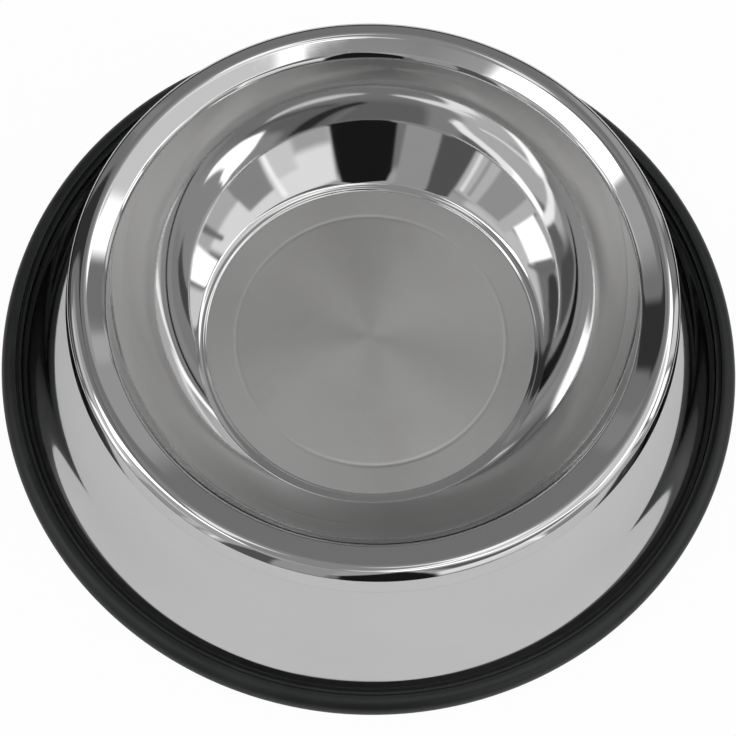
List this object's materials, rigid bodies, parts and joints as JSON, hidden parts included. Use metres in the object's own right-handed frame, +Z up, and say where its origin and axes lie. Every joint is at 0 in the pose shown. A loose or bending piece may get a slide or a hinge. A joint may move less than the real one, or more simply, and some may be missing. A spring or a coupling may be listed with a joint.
{
  "type": "feeding bowl",
  "caption": "Round stainless feeding bowl with a drawn basin, a flared conical skirt and a black rubber ring that keeps it from sliding.",
  "frame": {"origin": "centre of the bowl's axis at the level of the flat underside of the rubber ring", "axes": "+Z up along the axis of the bowl, +X and +Y any two level directions, since every piece is turned about the axis"},
  "size_m": [0.248, 0.248, 0.0574],
  "materials": {
    "bowl_steel": "mirror polished wall and rim, satin turned floor",
    "skirt_steel": "mirror polished",
    "ring_rubber": "moulded, soft gloss"
  },
  "bodies": {
    "root": {"inner_bowl": "bowl_steel", "outer_skirt": "skirt_steel", "rubber_ring": "ring_rubber"}
  },
  "joints": []
}
